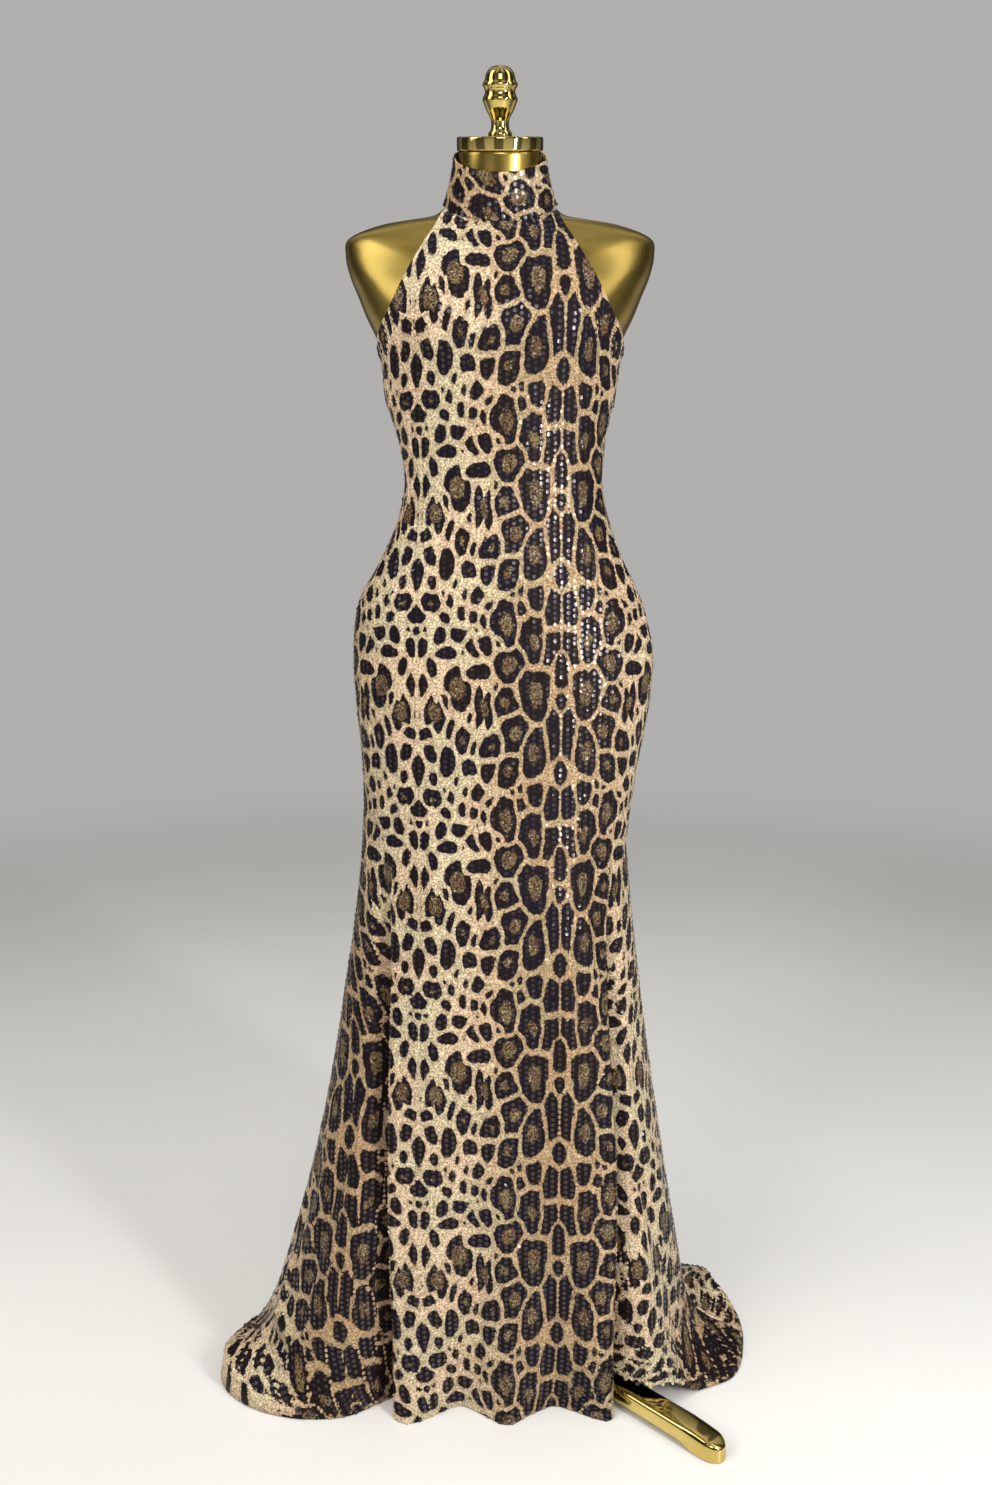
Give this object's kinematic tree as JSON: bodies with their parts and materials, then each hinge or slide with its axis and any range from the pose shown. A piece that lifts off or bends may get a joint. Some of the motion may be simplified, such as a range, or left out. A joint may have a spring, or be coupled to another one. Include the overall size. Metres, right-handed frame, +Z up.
{
  "type": "evening gown on a limbless dress form",
  "caption": "Floor-length halter gown with a stand collar and a small train, worn by a limbless dress form on a tripod stand.",
  "frame": {"origin": "on the floor under the stand's pole, at the centre of the hub's flat underside", "axes": "+Z up along the pole, the gown's front faces -Y, +X is the right as seen from the front"},
  "size_m": [0.7497, 0.693, 1.7121],
  "materials": {
    "sequin_cloth": "sequined knit with a leopard print",
    "zip_nylon": "woven nylon zip tape",
    "satin_gold": "satin gold lacquer",
    "bright_gold": "polished gold"
  },
  "bodies": {
    "root": {"front_panel": "sequin_cloth", "back_panel_left": "sequin_cloth", "back_panel_right": "sequin_cloth", "collar": "sequin_cloth", "back_zip": "zip_nylon", "form_torso": "satin_gold", "neck_cap": "bright_gold", "finial": "bright_gold", "base_hub": "bright_gold", "pole": "bright_gold", "leg_front_right": "bright_gold", "leg_left": "bright_gold", "leg_back": "bright_gold"}
  },
  "joints": []
}
